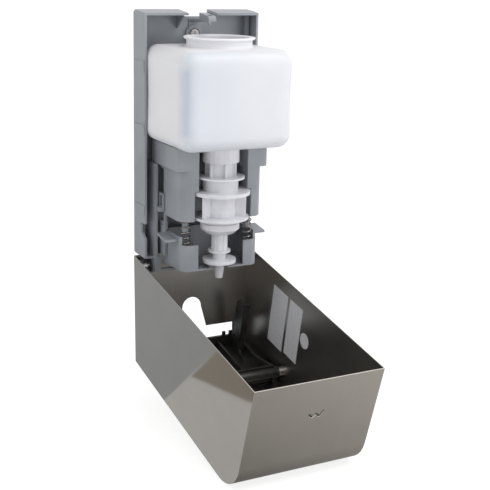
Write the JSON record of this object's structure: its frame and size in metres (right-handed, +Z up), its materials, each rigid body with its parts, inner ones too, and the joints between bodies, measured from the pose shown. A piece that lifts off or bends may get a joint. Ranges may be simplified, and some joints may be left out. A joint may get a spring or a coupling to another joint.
{
  "type": "wall soap dispenser",
  "caption": "Wall-mounted manual soap dispenser with a hinged steel cover, push plate, lever-driven lift carriage, refillable bottle and piston pump, cover hanging open.",
  "frame": {"origin": "middle of the four wall screw holes, on the plane of the wall", "axes": "+X to the right as a user faces the wall, +Y into the wall, +Z up"},
  "size_m": [0.113, 0.2349, 0.349],
  "materials": {
    "grey_plastic": "fine moulded grain, satin",
    "dark_plastic": "matte",
    "black_plastic": "matte",
    "white_plastic": "satin",
    "bottle_plastic": "soft satin, slightly cloudy",
    "black_rubber": "matte",
    "cover_steel": "bright stainless sheet, polished with a faint grain",
    "screw_steel": "plain",
    "spring_steel": "drawn wire",
    "sticker": "matte printed paper, left bare"
  },
  "bodies": {
    "frame": {"back_plate": "grey_plastic", "pump_bracket": "grey_plastic", "bracket_screws": "screw_steel", "latch_base": "grey_plastic", "latch_screw": "screw_steel", "bottle": "bottle_plastic", "neck_gasket": "black_rubber", "neck_nut": "white_plastic", "pump_body": "white_plastic", "pump_cap": "white_plastic", "inlet_ball": "screw_steel", "spring_left": "spring_steel", "spring_right": "spring_steel"},
    "cover": {"cover_shell": "cover_steel", "hinge_bushes": "screw_steel", "hinge_pins": "screw_steel", "pin_washers": "dark_plastic", "latch_catch": "cover_steel", "axle_bushes": "screw_steel", "lever_axle": "screw_steel", "sticker_lower": "sticker", "sticker_upper": "sticker", "sticker_round": "sticker"},
    "lever": {"push_plate": "cover_steel", "push_lever": "black_plastic", "plate_rivets": "screw_steel"},
    "carriage": {"carriage": "grey_plastic", "pump_stem": "white_plastic", "piston_seal": "black_rubber", "outlet_ball": "screw_steel", "outlet_spring": "spring_steel", "nozzle": "white_plastic"},
    "latch": {"latch_arm": "grey_plastic"}
  },
  "joints": [
    {"name": "cover_hinge", "type": "hinge", "parent": "frame", "child": "cover", "pos_m": [0, -0.013, -0.1533], "axis": [-1, 0, 0], "range_deg": [0, 100]},
    {"name": "push_press", "type": "hinge", "parent": "cover", "child": "lever", "pos_m": [0, -0.07994, -0.24705], "axis": [1, 0, 0], "range_deg": [0, 12]},
    {"name": "carriage_lift", "type": "slide", "parent": "frame", "child": "carriage", "axis": [0, 0, 1], "range_m": [0, 0.0085], "stiffness_N_per_m": 250, "springref_m": -0.004, "deforming": ["spring_left", "spring_right"]},
    {"name": "latch_press", "type": "hinge", "parent": "frame", "child": "latch", "pos_m": [0, -0.0033, 0.058], "axis": [1, 0, 0], "range_deg": [0, 6], "stiffness_Nm_per_rad": 1.2, "springref_deg": -0.57}
  ],
  "couplings": [
    {"joint": "carriage_lift", "follows": "push_press", "m_per_rad": 0.0397}
  ]
}
